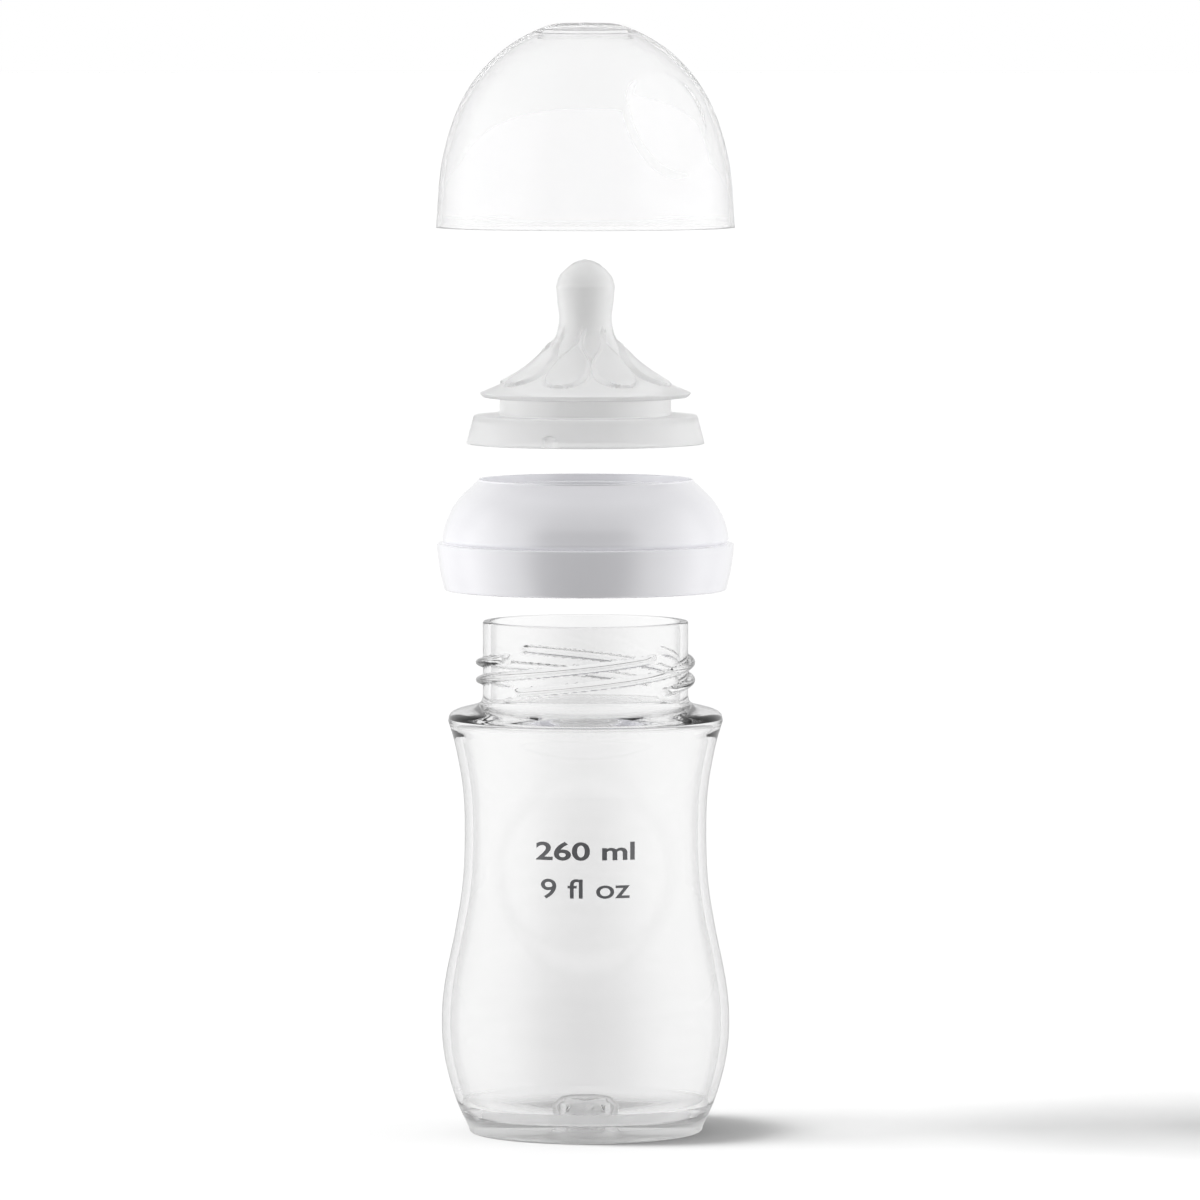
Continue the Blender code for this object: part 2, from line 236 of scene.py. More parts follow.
def colour_mix(tree, factor, first, second):
    """A colour that goes from the first to the second as the factor goes from 0 to 1."""
    inputs = {0: factor, "A": first, "B": second}
    return node(tree, "ShaderNodeMix", inputs, data_type="RGBA").outputs["Result"]


def lamps_pass(tree, shader, tint):
    """Lets the lamps through clear plastic, so that it throws a pale shadow and not a black one.

    What is seen through the plastic is lit as if the plastic were not there.
    """
    path = node(tree, "ShaderNodeLightPath")
    tint = colour_mix(tree, path.outputs["Transmission Depth"], tint, (0.97, 0.97, 0.97, 1.0))
    soft = node(
        tree,
        "ShaderNodeMath",
        {0: path.outputs["Is Shadow Ray"], 1: path.outputs["Is Diffuse Ray"]},
        operation="MAXIMUM",
    ).outputs[0]
    clear = node(tree, "ShaderNodeBsdfTransparent", {"Color": tint}).outputs[0]
    return node(tree, "ShaderNodeMixShader", {0: soft, 1: shader, 2: clear}).outputs[0]


def facing(tree):
    """0 where the surface faces the eye, rising to 1 where it turns edge-on."""
    return node(tree, "ShaderNodeLayerWeight", {"Blend": 0.5}).outputs["Facing"]


def painted_rim_shade(tree, stops):
    """Painted shade: a grey set by how far the surface turns from the eye, by the stops given."""
    return ramp(tree, facing(tree), stops, "LINEAR")


def painted_edge_shade(tree, shader, stops, grey):
    """Painted shade: mixes plain grey into clear plastic where it turns edge-on, by a share that the stops
    give.
    """
    share = ramp(tree, facing(tree), stops, "LINEAR")
    plain = node(tree, "ShaderNodeBsdfDiffuse", {"Color": (grey, grey, grey, 1.0)}).outputs[0]
    return node(tree, "ShaderNodeMixShader", {0: share, 1: shader, 2: plain}).outputs[0]


# ---------------------------------------------------------------- materials


def bottle_height(tree):
    """0 at the bottle's foot and 1 at its rim."""
    place = node(tree, "ShaderNodeTexCoord").outputs["Object"]
    height = node(tree, "ShaderNodeSeparateXYZ", {0: place}).outputs["Z"]
    inputs = {"Value": height, "From Max": BOTTLE_TALL, "To Max": 1.0}
    return node(tree, "ShaderNodeMapRange", inputs).outputs["Result"]


def bottle_plastic():
    """Clear blow-moulded plastic with faint ripples and rub marks, and painted shade that greys it where it
    faces the eye, more edge-on and more low down.
    """
    made, tree = new_tree("bottle_plastic")
    share = bottle_height(tree)
    # Painted shade: the tint is darkest where the plastic faces the eye and grey edge-on, deeper low on the
    # bottle.
    lower_shade_stops = [(0.0, 0.828), (0.016, 0.845), (0.035, 0.862), (0.1, 0.9), (0.2, 0.935), (1.0, 0.9)]
    upper_shade_stops = [(0.0, 0.885), (0.016, 0.9), (0.035, 0.915), (0.1, 0.935), (0.2, 0.955), (1.0, 0.9)]
    lower = painted_rim_shade(tree, lower_shade_stops)
    upper = painted_rim_shade(tree, upper_shade_stops)
    risen = ramp(tree, share, [(0.08, 0.0), (0.7, 1.0)], "LINEAR")
    tint = colour_mix(tree, risen, lower, upper)
    rubs = noise(tree, 900.0, 4.0, (1.0, 1.0, 0.2))
    shader = node(
        tree,
        "ShaderNodeBsdfPrincipled",
        {
            "Base Color": tint,
            "Roughness": between(tree, rubs, 0.0, 0.02),
            "IOR": 1.25,
            "Transmission Weight": 1.0,
            "Normal": bump(tree, noise(tree, 70.0, 2.0, (1.0, 1.0, 0.35)), 0.0001, 0.2),
        },
    ).outputs[0]
    # Painted shade: plain grey mixed in where the plastic turns edge-on.
    edge_shade_stops = [(0.62, 0.0), (0.72, 0.14), (0.88, 0.24), (0.95, 0.6), (1.0, 0.75)]
    edge_shaded = painted_edge_shade(tree, shader, edge_shade_stops, 0.42)
    frost = ramp(tree, share, [(0.0, 0.4), (0.022, 0.34), (0.042, 0.03), (0.12, 0.0)], "LINEAR")
    matt = node(tree, "ShaderNodeBsdfDiffuse", {"Color": (0.86, 0.86, 0.86, 1.0)}).outputs[0]
    frosted = node(tree, "ShaderNodeMixShader", {0: frost, 1: edge_shaded, 2: matt}).outputs[0]
    passed = ramp(tree, share, [(0.0, 0.44), (0.06, 0.52), (0.16, 0.95), (1.0, 0.96)])
    absorbed = {"Color": (0.0, 0.0, 0.0, 1.0), "Density": 3.0}
    depth = node(tree, "ShaderNodeVolumeAbsorption", absorbed).outputs[0]
    output(tree, lamps_pass(tree, frosted, passed), depth)
    return made


def cap_plastic():
    """Thin hard clear plastic with a slight milky haze, and painted shade that greys it edge-on."""
    made, tree = new_tree("cap_plastic")
    # Painted shade: the tint greys where the plastic turns edge-on.
    tint = painted_rim_shade(tree, [(0.0, 0.972), (0.4, 0.975), (0.7, 0.95), (1.0, 0.88)])
    haze = noise(tree, 500.0, 3.0)
    clear = node(
        tree,
        "ShaderNodeBsdfPrincipled",
        {
            "Base Color": tint,
            "Roughness": between(tree, haze, 0.0, 0.02),
            "IOR": 1.18,
            "Transmission Weight": 1.0,
        },
    ).outputs[0]
    milk = node(tree, "ShaderNodeBsdfTranslucent", {"Color": (0.96, 0.96, 0.965, 1.0)}).outputs[0]
    mixed = node(tree, "ShaderNodeMixShader", {0: 0.12, 1: clear, 2: milk}).outputs[0]
    # Painted shade: plain grey mixed in edge-on.
    edge_shaded = painted_edge_shade(tree, mixed, [(0.5, 0.0), (0.75, 0.08), (0.9, 0.22), (1.0, 0.8)], 0.4)
    output(tree, lamps_pass(tree, edge_shaded, (0.94, 0.94, 0.94, 1.0)))
    return made


def silicone():
    """Soft milky silicone: light passes and scatters, and the skin is satin; painted shade greys it edge-on.
    """
    made, tree = new_tree("silicone")
    # Painted shade: the tint greys where the silicone turns edge-on.
    tint = painted_rim_shade(tree, [(0.0, 0.97), (0.3, 0.985), (0.7, 0.98), (0.9, 0.9), (1.0, 0.8)])
    cloud = noise(tree, 160.0, 3.0)
    clear = node(
        tree,
        "ShaderNodeBsdfPrincipled",
        {
            "Base Color": tint,
            "Roughness": between(tree, cloud, 0.03, 0.08),
            "IOR": 1.2,
            "Transmission Weight": 1.0,
            "Normal": bump(tree, noise(tree, 300.0, 2.0), 0.00003, 0.25),
        },
    ).outputs[0]
    milk = node(
        tree,
        "ShaderNodeBsdfPrincipled",
        {"Base Color": (0.95, 0.95, 0.95, 1.0), "Roughness": between(tree, cloud, 0.16, 0.26), "IOR": 1.45},
    ).outputs[0]
    glow = node(tree, "ShaderNodeBsdfTranslucent", {"Color": (0.98, 0.98, 0.98, 1.0)}).outputs[0]
    cloudy = node(tree, "ShaderNodeMixShader", {0: 0.3, 1: milk, 2: glow}).outputs[0]
    mixed = node(tree, "ShaderNodeMixShader", {0: 0.45, 1: clear, 2: cloudy}).outputs[0]
    # Painted shade: plain grey mixed in edge-on.
    edge_shaded = painted_edge_shade(tree, mixed, [(0.6, 0.0), (0.86, 0.12), (1.0, 0.4)], 0.45)
    output(tree, lamps_pass(tree, edge_shaded, (0.92, 0.92, 0.92, 1.0)))
    return made


def white_plastic(name, low, high):
    """Glossy opaque white plastic with a faint orange-peel skin and fine rub marks."""
    made, tree = new_tree(name)
    cloud = noise(tree, 90.0, 3.0)
    colour = ramp(tree, cloud, [(0.3, (0.9, 0.897, 0.93)), (0.7, (0.915, 0.912, 0.945))])
    rubs = noise(tree, 1100.0, 4.0, (1.0, 1.0, 0.25))
    peel = noise(tree, 420.0, 2.0)
    shader = node(
        tree,
        "ShaderNodeBsdfPrincipled",
        {
            "Base Color": colour,
            "Roughness": between(tree, rubs, low, high),
            "IOR": 1.5,
            "Coat Weight": 0.5,
            "Coat Roughness": 0.05,
            "Normal": bump(tree, peel, 0.00003, 0.4),
        },
    ).outputs[0]
    output(tree, shader)
    return made


def ink():
    """Screen-printed dark grey ink with slightly uneven cover."""
    made, tree = new_tree("ink")
    cover = noise(tree, 2600.0, 4.0)
    shader = node(
        tree,
        "ShaderNodeBsdfPrincipled",
        {
            "Base Color": ramp(tree, cover, [(0.3, (0.135, 0.138, 0.145)), (0.75, (0.19, 0.192, 0.2))]),
            "Roughness": between(tree, cover, 0.35, 0.55),
        },
    ).outputs[0]
    output(tree, shader)
    return made


def floor_white():
    """Plain matt white floor, with a mottle too faint to see from afar."""
    made, tree = new_tree("floor_white")
    mottle = noise(tree, 30.0, 3.0)
    shader = node(
        tree,
        "ShaderNodeBsdfDiffuse",
        {"Color": ramp(tree, mottle, [(0.3, (0.297, 0.297, 0.297)), (0.7, (0.303, 0.303, 0.303))])},
    ).outputs[0]
    output(tree, shader)
    return made


# ---------------------------------------------------------------- bottle

NECK_R, NECK_BORE_R, RIM_Z, RIM_EASE = 24.8, 22.9, 123.8, 0.7
NECK_FOOT_Z, NECK_TOP_Z = 105.6, 122.6
BORE_FOOT_Z = 103.8
SHOULDER_R, SHOULDER_Z = 33.2, 99.7
INNER_SHOULDER_Z, INNER_FLOOR_Z = 96.8, 7.6
WALL = 2.0
HEEL_R, HEEL_Z = 28.4, 1.2
FLOOR_Z = 4.2
BOSS_R, BOSS_Z = 6.0, 8.4
UNDER_STEP = 0.5
STARTS = 4
LEAD = 16.96
RIDGE_FADE = 14.0
NECK_RIDGE_OUT, NECK_RIDGE_HALF = 1.7, 1.05
NECK_RIDGE_LOW, NECK_RIDGE_TURN, NECK_RIDGE_START = 107.4, 180.0, -45.0
PANEL_Z, PANEL_OUT_R, PANEL_IN_R, PANEL_DEPTH = 65.2, 23.4, 19.2, 1.4
MARK_AT, MARK_R, MARK_WIDE, MARK_OUT = (16.2, -9.0), 3.4, 0.5, 0.25


def helix_ridges(z, turn, start, low, reach, out, half):
    """Height of a four-start right-hand thread ridge at each point of a grid."""
    degrees = np.degrees(turn)
    total = np.zeros_like(z)
    for i in range(STARTS):
        along = (degrees - start - 360.0 / STARTS * i) % 360.0
        centre = low + LEAD * along / 360.0
        across = np.clip(np.abs(z - centre) / half, 0.0, 1.0)
        ends = smoothstep(0.0, RIDGE_FADE, along) * smoothstep(0.0, RIDGE_FADE, reach - along)
        total = np.maximum(total, out * np.sqrt(1 - across**2) * ends)
    return total


def neck_thread(r, z, turn):
    """Raises the thread's four ridges on the neck."""
    out = helix_ridges(
        z, turn, NECK_RIDGE_START, NECK_RIDGE_LOW, NECK_RIDGE_TURN, NECK_RIDGE_OUT, NECK_RIDGE_HALF
    )
    return r + out, z, turn


def grip_panel(r, z, turn):
    """Presses a round panel with a broad soft edge into the front of the waist."""
    ahead = np.cos(turn) > 0
    off_centre = np.hypot(r * np.sin(turn), z - PANEL_Z)
    sink = PANEL_DEPTH * (1 - smoothstep(PANEL_IN_R, PANEL_OUT_R, off_centre))
    return r - sink * ahead, z, turn


def moulded_mark(r, z, turn):
    """A small raised ring under the base, left by the mould."""
    x, y = r * np.sin(turn), -r * np.cos(turn)
    off = np.hypot(x - MARK_AT[0], y - MARK_AT[1]) - MARK_R
    return r, z - MARK_OUT * np.exp(-((off / MARK_WIDE) ** 2)), turn


def body_line(shrink, low, steps):
    """The bottle's side from the heel to the shoulder, moved inwards by shrink."""
    side = [
        (HEEL_R, HEEL_Z),
        (31.6, 8.5),
        (34.1, 18.0),
        (34.8, 27.1),
        (34.0, 36.5),
        (31.4, 49.5),
        (29.7, 60.5),
        (29.2, 72.1),
        (29.6, 83.0),
        (31.4, 93.4),
        (SHOULDER_R, SHOULDER_Z),
    ]
    return [(r - shrink, z) for r, z in smooth_line(side, steps) if z >= low]


def bottle_rim():
    """The rounded lip, from the bore over to the neck."""
    corners = [
        (NECK_BORE_R, RIM_Z - RIM_EASE),
        (NECK_BORE_R, RIM_Z, RIM_EASE),
        (NECK_R, RIM_Z, RIM_EASE),
        (NECK_R, NECK_TOP_Z),
    ]
    return rounded(corners, 6)


def bottle_under():
    """The underside from the heel to the axis: a flat foot, a shallow dish and the hollow of the boss."""
    corners = [
        (HEEL_R, HEEL_Z),
        (28.2, 0.0, 1.3),
        (22.0, 0.0, 0.5),
        (20.6, 0.9, 0.6),
        (11.0, 2.0, 0.8),
        (7.4, 2.6, 1.0),
        (4.8, 5.6, 0.8),
        (0.0, 6.0),
    ]
    heel = rounded(corners, 5)
    under = []
    for a, b in zip(heel, heel[1:]):
        steps = max(1, round((Vector(a) - Vector(b)).length / UNDER_STEP))
        under += straight(a, b, steps)[:-1]
    return [*under, heel[-1]]


def bottle_floor():
    """The floor inside, from the top of the boss out to the foot of the wall."""
    corners = [
        (0.0, BOSS_Z),
        (BOSS_R, BOSS_Z, 0.8),
        (9.2, 5.3, 1.2),
        (17.0, 4.7),
        (25.0, FLOOR_Z, 2.0),
        (29.6, 7.4),
    ]
    return rounded(corners, 5)


def make_bottle():
    inner_side = [p for p in body_line(WALL, INNER_FLOOR_Z, 7) if p[1] < INNER_SHOULDER_Z]
    inner_shoulder = [
        inner_side[-1],
        (31.2, 98.9),
        (30.2, 100.1),
        (24.9, 101.4),
        (23.5, 102.2),
        (NECK_BORE_R, BORE_FOOT_Z),
    ]
    bore = [(NECK_BORE_R, z) for z in np.linspace(BORE_FOOT_Z, RIM_Z - RIM_EASE, 8)]
    neck = straight((NECK_R, NECK_TOP_Z), (NECK_R, NECK_FOOT_Z), 68)
    shoulder = [
        (NECK_R, NECK_FOOT_Z),
        (25.3, 104.2),
        (26.8, 103.4),
        (31.0, 102.3),
        (32.7, 101.3),
        (SHOULDER_R, SHOULDER_Z),
    ]
    side = list(reversed(body_line(0.0, HEEL_Z, 8)))
    bottle = turned(
        "clear_bottle",
        [
            (bottle_floor(), None),
            (inner_side, grip_panel),
            (smooth_line(inner_shoulder, 5), None),
            (bore, None),
            (bottle_rim(), None),
            (neck, neck_thread),
            (smooth_line(shoulder, 5), None),
            (side, grip_panel),
            (bottle_under(), moulded_mark),
        ],
        BOTTLE_FOOT,
    )
    bottle.data.materials.append(bottle_plastic())
    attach(bottle, "bottle")
    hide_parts("bottle")
    return bottle


PRINT_OUT, PRINT_SUNK, PRINT_STRIPS, PRINT_EXTRUDE = 0.04, 0.02, 34, 0.5


def panel_radius(height):
    """The outer radius of the waist at a height inside the grip panel, in millimetres."""
    line = body_line(PANEL_DEPTH, PANEL_Z - PANEL_OUT_R, 9)
    return float(np.interp(height, [z for _, z in line], [r for r, _ in line]))


def flat_letters(name, words, bold):
    """A mesh of the words, set flat and about 1 unit tall."""
    curve = bpy.data.curves.new(name, "FONT")
    curve.body = words
    curve.align_x = "CENTER"
    curve.extrude = PRINT_EXTRUDE
    curve.resolution_u = 6
    curve.offset = bold
    guide = bpy.data.objects.new(name, curve)
    bpy.context.scene.collection.objects.link(guide)
    bpy.context.view_layer.update()
    mesh = bpy.data.meshes.new_from_object(guide.evaluated_get(bpy.context.evaluated_depsgraph_get()))
    bpy.data.objects.remove(guide, do_unlink=True)
    mesh.name = name
    return mesh


def print_line(name, words, wide, tall, centre_z, bold, skin):
    """A line of generic print, cut into narrow upright strips and wrapped onto the grip panel."""
    mesh = flat_letters(name, words, bold)
    shape = bmesh.new()
    shape.from_mesh(mesh)
    bmesh.ops.remove_doubles(shape, verts=shape.verts, dist=1e-5)
    low_x, high_x = min(v.co.x for v in shape.verts), max(v.co.x for v in shape.verts)
    low_y, high_y = min(v.co.y for v in shape.verts), max(v.co.y for v in shape.verts)
    for i in range(1, PRINT_STRIPS):
        at = low_x + (high_x - low_x) * i / PRINT_STRIPS
        bmesh.ops.bisect_plane(
            shape, geom=[*shape.verts, *shape.edges, *shape.faces], plane_co=(at, 0, 0), plane_no=(1, 0, 0)
        )
    for vert in shape.verts:
        across = ((vert.co.x - low_x) / (high_x - low_x) - 0.5) * wide
        height = centre_z + ((vert.co.y - low_y) / (high_y - low_y) - 0.5) * tall
        out = PRINT_OUT if vert.co.z > 0 else -PRINT_SUNK
        radius = panel_radius(height) + out
        turn = across / radius
        vert.co = (radius * np.sin(turn) * MM, -radius * np.cos(turn) * MM, BOTTLE_FOOT + height * MM)
    shape.to_mesh(mesh)
    shape.free()
    mesh.materials.append(skin)
    obj = bpy.data.objects.new(name, mesh)
    bpy.context.scene.collection.objects.link(obj)
    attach(obj, "bottle")
    return obj


# ---------------------------------------------------------------- screw ring

RING_RIDGE_OUT, RING_RIDGE_HALF = 1.85, 1.15
RING_RIDGE_LOW, RING_RIDGE_TURN, RING_RIDGE_START = 3.4, 90.0, 129.48
RING_TOP_R, RING_TOP_Z = 26.05, 26.8
DOME_FOOT = (34.6, 12.4)
BAND_TOP, BAND_FOOT = (35.75, 9.5), (34.3, 1.4)
CAVITY_TOP = (33.6, 8.8)
PLATE_R, PLATE_Z = 27.7, 21.5
SEAT_R, SEAT_Z = 25.65, 24.4
HOLE_R, COLLAR_Z = 20.9, 25.2
SLEEVE_R, SLEEVE_OUT_R, SLEEVE_LOW = 27.2, 28.9, 1.2
SLEEVE_THREAD = 2.0, 14.0
WEB_R, WEB_LOW, WEB_TOP = 31.4, 12.4, 14.2


def make_shell():
    """The part of the ring that is seen: a dome over a band, and inside them a plate with the teat's hole."""
    dome = smooth_line([(RING_TOP_R, RING_TOP_Z - 0.4), (30.9, 21.6), (33.6, 16.6), DOME_FOOT], 9)
    ledge = rounded([DOME_FOOT, (34.1, 11.35, 0.2), (35.9, 11.35, 0.4), BAND_TOP], 5)
    band = smooth_line([BAND_TOP, (35.45, 7.0), (34.95, 4.0), BAND_FOOT], 5)
    foot_corners = [BAND_FOOT, (34.05, 0.0, 1.2), (32.7, 0.0, 0.5), (32.3, 0.6, 0.4), (33.0, 4.0), CAVITY_TOP]
    inner_dome = smooth_line([CAVITY_TOP, (32.5, 11.6), (31.3, 16.6), (29.3, 20.0), (PLATE_R, PLATE_Z)], 5)
    collar = rounded(
        [
            (PLATE_R, PLATE_Z),
            (HOLE_R, PLATE_Z, 0.5),
            (HOLE_R, COLLAR_Z, 0.5),
            (22.2, COLLAR_Z, 0.4),
            (22.4, SEAT_Z, 0.2),
            (SEAT_R, SEAT_Z, 0.3),
            (SEAT_R, RING_TOP_Z, 0.25),
            (RING_TOP_R, RING_TOP_Z, 0.3),
            (RING_TOP_R, RING_TOP_Z - 0.4),
        ],
        4,
    )
    foot = rounded(foot_corners, 5)
    outline = [(points, None) for points in (dome, ledge, band, foot, inner_dome, collar)]
    shell = turned("ring_shell", outline, RING_FOOT, closed=True)
    shell.data.materials.append(white_plastic("white_plastic", 0.14, 0.26))
    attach(shell, "ring_shell")
    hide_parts("screw_ring_shell")
    return shell


def sleeve_thread(r, z, turn):
    """Raises the four ridges inside the sleeve, which run in the neck's thread."""
    out = helix_ridges(
        z, turn, RING_RIDGE_START, RING_RIDGE_LOW, RING_RIDGE_TURN, RING_RIDGE_OUT, RING_RIDGE_HALF
    )
    return r - out, z, turn


def make_sleeve():
    """The threaded wall inside the ring, with the web that carries it."""
    thread_low, thread_high = SLEEVE_THREAD
    outside = rounded(
        [
            (SLEEVE_R, WEB_TOP),
            (WEB_R, WEB_TOP, 0.3),
            (WEB_R, WEB_LOW, 0.3),
            (SLEEVE_OUT_R, WEB_LOW, 0.6),
            (SLEEVE_OUT_R, SLEEVE_LOW, 0.5),
            (27.8, SLEEVE_LOW, 0.3),
            (SLEEVE_R, thread_low),
        ],
        4,
    )
    inside = straight((SLEEVE_R, thread_low), (SLEEVE_R, thread_high), 48)
    sleeve = turned("ring_sleeve", [(outside, None), (inside, sleeve_thread)], RING_FOOT, closed=True)
    sleeve.data.materials.append(white_plastic("white_sleeve_plastic", 0.2, 0.34))
    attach(sleeve, "ring_sleeve")
    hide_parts("screw_ring_sleeve")
    return sleeve


# ---------------------------------------------------------------- teat

PETALS = 8
PETAL_FOOT_Z, PETAL_TIP_Z = 14.2, 28.5
PETAL_LEAN, PETAL_TURN, PETAL_OUT, PETAL_EDGE = 14.0, -18.0, 1.0, 1.0
PETAL_CREASE, PETAL_CREASE_AT, PETAL_CREASE_WIDE = 0.6, 0.15, 0.28
PETAL_WIDE, PETAL_ROUND, PETAL_THIN_FROM, PETAL_AIM = 0.94, 0.32, 0.6, (0.75, 0.55)
PETAL_NECK_LOW, PETAL_NECK_HIGH, PETAL_NECK = 0.38, 0.78, 0.15
VENT_TURN, VENT_R, VENT_TOP, VENT_DEPTH, VENT_EDGE = -17.7, 1.55, 3.0, 0.5, (-0.15, 0.1)
TEAT_TURNS = 320
TIP_HOLE_R, TIP_Z = 0.45, 44.4
TIP_FOOT = (7.1, 38.0)
LIP_TOP = (25.0, 12.5)
GROOVE_R, GROOVE_LOW, GROOVE_HIGH = 20.7, 6.95, 11.0
SKIRT_TOP, SKIRT_FOOT = (27.3, 5.6), (28.65, 0.5)
INNER_R, INNER_FOOT_Z = 19.2, 11.2


def petals(r, z, turn):
    """Eight drop-shaped pads round the cone, each with its tip turned to one side."""
    along = (z - PETAL_FOOT_Z) / (PETAL_TIP_Z - PETAL_FOOT_Z)
    inside = np.clip(along, 0.0, 1.0)
    round_foot = np.minimum(inside / PETAL_ROUND, 1.0)
    width = PETAL_WIDE * np.sqrt(np.clip(1 - (1 - round_foot) ** 2, 0.0, 1.0))
    width = width * (1 - (1 - PETAL_NECK) * smoothstep(PETAL_NECK_LOW, PETAL_NECK_HIGH, inside))
    pitch = 360.0 / PETALS
    centre = PETAL_TURN + PETAL_LEAN * inside**2
    off = (np.degrees(turn) - centre + pitch / 2) % pitch - pitch / 2
    edge = (np.abs(off) - pitch / 2 * width) * np.radians(1.0) * r
    thins = 1 - 0.5 * smoothstep(PETAL_THIN_FROM, 1.0, inside)
    out = PETAL_OUT * (1 - smoothstep(-PETAL_EDGE, 0.0, edge)) * thins
    crease = PETAL_CREASE * np.exp(-(((edge - PETAL_CREASE_AT) / PETAL_CREASE_WIDE) ** 2))
    crease = crease * (1 - smoothstep(0.9, 1.0, inside))
    out = np.where((along > 0) & (along < 1), out - crease, 0.0)
    return r + PETAL_AIM[0] * out, z + PETAL_AIM[1] * out, turn


def vent(r, z, turn):
    """An arched pocket in the skirt for the air valve."""
    across = r * np.radians((np.degrees(turn) - VENT_TURN + 180.0) % 360.0 - 180.0)
    over = np.where(z > VENT_TOP - VENT_R, np.hypot(across, z - (VENT_TOP - VENT_R)), np.abs(across))
    edge = [VENT_R + share for share in VENT_EDGE]
    return r - VENT_DEPTH * (1 - smoothstep(*edge, over)), z, turn


def teat_stem():
    """The outside from the bulb down over the cone to the lip."""
    points = [
        TIP_FOOT,
        (6.75, 34.2),
        (6.35, 30.8),
        (6.6, 27.8),
        (7.6, 25.0),
        (11.6, 20.1),
        (17.5, 15.9),
        LIP_TOP,
    ]
    return smooth_line(points, 18)


def teat_lip():
    """The lip, the groove that grips the ring, and the top of the skirt."""
    corners = [
        LIP_TOP,
        (25.5, 12.2, 0.4),
        (24.6, 11.2, 0.4),
        (GROOVE_R, GROOVE_HIGH, 0.4),
        (GROOVE_R, GROOVE_LOW, 0.2),
        (27.0, GROOVE_LOW, 0.7),
        SKIRT_TOP,
    ]
    return rounded(corners, 5)


def teat_seat():
    """The skirt's foot and the seat inside it that lies on the bottle's rim."""
    corners = [
        SKIRT_FOOT,
        (28.7, 0.0, 0.3),
        (27.2, 0.0, 0.3),
        (25.5, 5.3, 0.4),
        (24.9, 5.6, 0.2),
        (INNER_R, 5.8, 0.6),
        (INNER_R, INNER_FOOT_Z),
    ]
    return rounded(corners, 5)


def teat_inside():
    """The inner skin of the cone and bulb, up to the hole."""
    points = [
        (INNER_R, INNER_FOOT_Z),
        (16.0, 14.2),
        (9.9, 19.2),
        (6.1, 24.6),
        (5.1, 27.8),
        (4.85, 30.8),
        (5.25, 34.2),
        (5.6, 37.8),
        (4.9, 39.9),
        (3.4, 41.6),
        (1.8, 42.5),
        (TIP_HOLE_R, 42.8),
    ]
    return smooth_line(points, 5)


def make_teat():
    tip = smooth_line([(TIP_HOLE_R, TIP_Z), (2.6, 43.75), (4.6, 42.3), (6.3, 40.4), TIP_FOOT], 6)
    outline = [
        (tip, None),
        (teat_stem(), petals),
        (teat_lip(), None),
        (straight(SKIRT_TOP, SKIRT_FOOT, 30), vent),
        (teat_seat(), None),
        (teat_inside(), None),
    ]
    teat = turned("soft_teat", outline, TEAT_FOOT, closed=True, turns=TEAT_TURNS)
    teat.data.materials.append(silicone())
    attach(teat, "teat")
    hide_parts("teat")
    return teat


# ---------------------------------------------------------------- cap

CAP_R, CAP_TOP, CAP_WALL = 36.0, 49.3, 1.1
CAP_RIM_BORE = 34.95
DISH_TURN, DISH_Z, DISH_SINK, DISH_BALL_R, DISH_EASE = 41.8, 27.0, 3.3, 63.0, 0.4
DISH_REACH, DISH_REACH_DOWN, DISH_NEAR = 18.0, 12.0, 4.0
GATE_R, GATE_WIDE, GATE_DEEP, GATE_FILLET = 11.2, 0.9, 0.8, 0.2
CAP_TURNS, DOME_STEPS = 320, 26


def dome_line(shrink, steps):
    """The cap's dome from the axis down to the rim, moved inwards by shrink."""
    side = [(0.0, CAP_TOP), (9.5, 48.4), (20.5, 42.2), (29.3, 31.6), (34.4, 16.7), (CAP_R, 0.0)]
    line = smooth_line(side, steps)
    moved = []
    for before, here, after in zip([line[0], *line], line, [*line[1:], line[-1]]):
        along = Vector((after[0] - before[0], after[1] - before[1])).normalized()
        radius = here[0] + along.y * shrink
        moved.append((max(0.0, radius) if here[0] > 0 else 0.0, here[1] - along.x * shrink))
    return moved


def dish_place():
    """The point on the dome where the thumb dish is centred, and the way the dome faces there."""
    line = dome_line(0.0, 12)
    spot_r = float(np.interp(-DISH_Z, [-height for _, height in line], [radius for radius, _ in line]))
    near = [point for point in line if abs(point[1] - DISH_Z) < DISH_NEAR]
    lean = atan((near[-1][0] - near[0][0]) / (near[0][1] - near[-1][1]))
    aim = radians(DISH_TURN)
    flat = np.array((sin(aim), -cos(aim), 0.0))
    up = np.array((0.0, 0.0, 1.0))
    return flat * spot_r + up * DISH_Z, flat * cos(lean) + up * sin(lean)


def dished(depth):
    """A shape that presses the dish into the dome's skin lying depth inside the outer one."""
    spot, normal = dish_place()

    def shape(r, z, turn):
        points = np.stack([r * np.sin(turn), -r * np.cos(turn), z], axis=1) - spot
        height = points @ normal
        off_axis = np.linalg.norm(points - np.outer(height, normal), axis=1)
        bowl = -DISH_SINK - depth + off_axis**2 / (2 * (DISH_BALL_R + depth))
        share = np.clip(0.5 + 0.5 * (bowl - height) / DISH_EASE, 0.0, 1.0)
        eased = bowl * (1 - share) + height * share - DISH_EASE * share * (1 - share)
        lowered = np.where((height > -DISH_REACH_DOWN) & (off_axis < DISH_REACH), eased, height)
        moved = points + np.outer(lowered - height, normal) + spot
        return np.hypot(moved[:, 0], moved[:, 1]), moved[:, 2], np.arctan2(moved[:, 0], -moved[:, 1])

    return shape


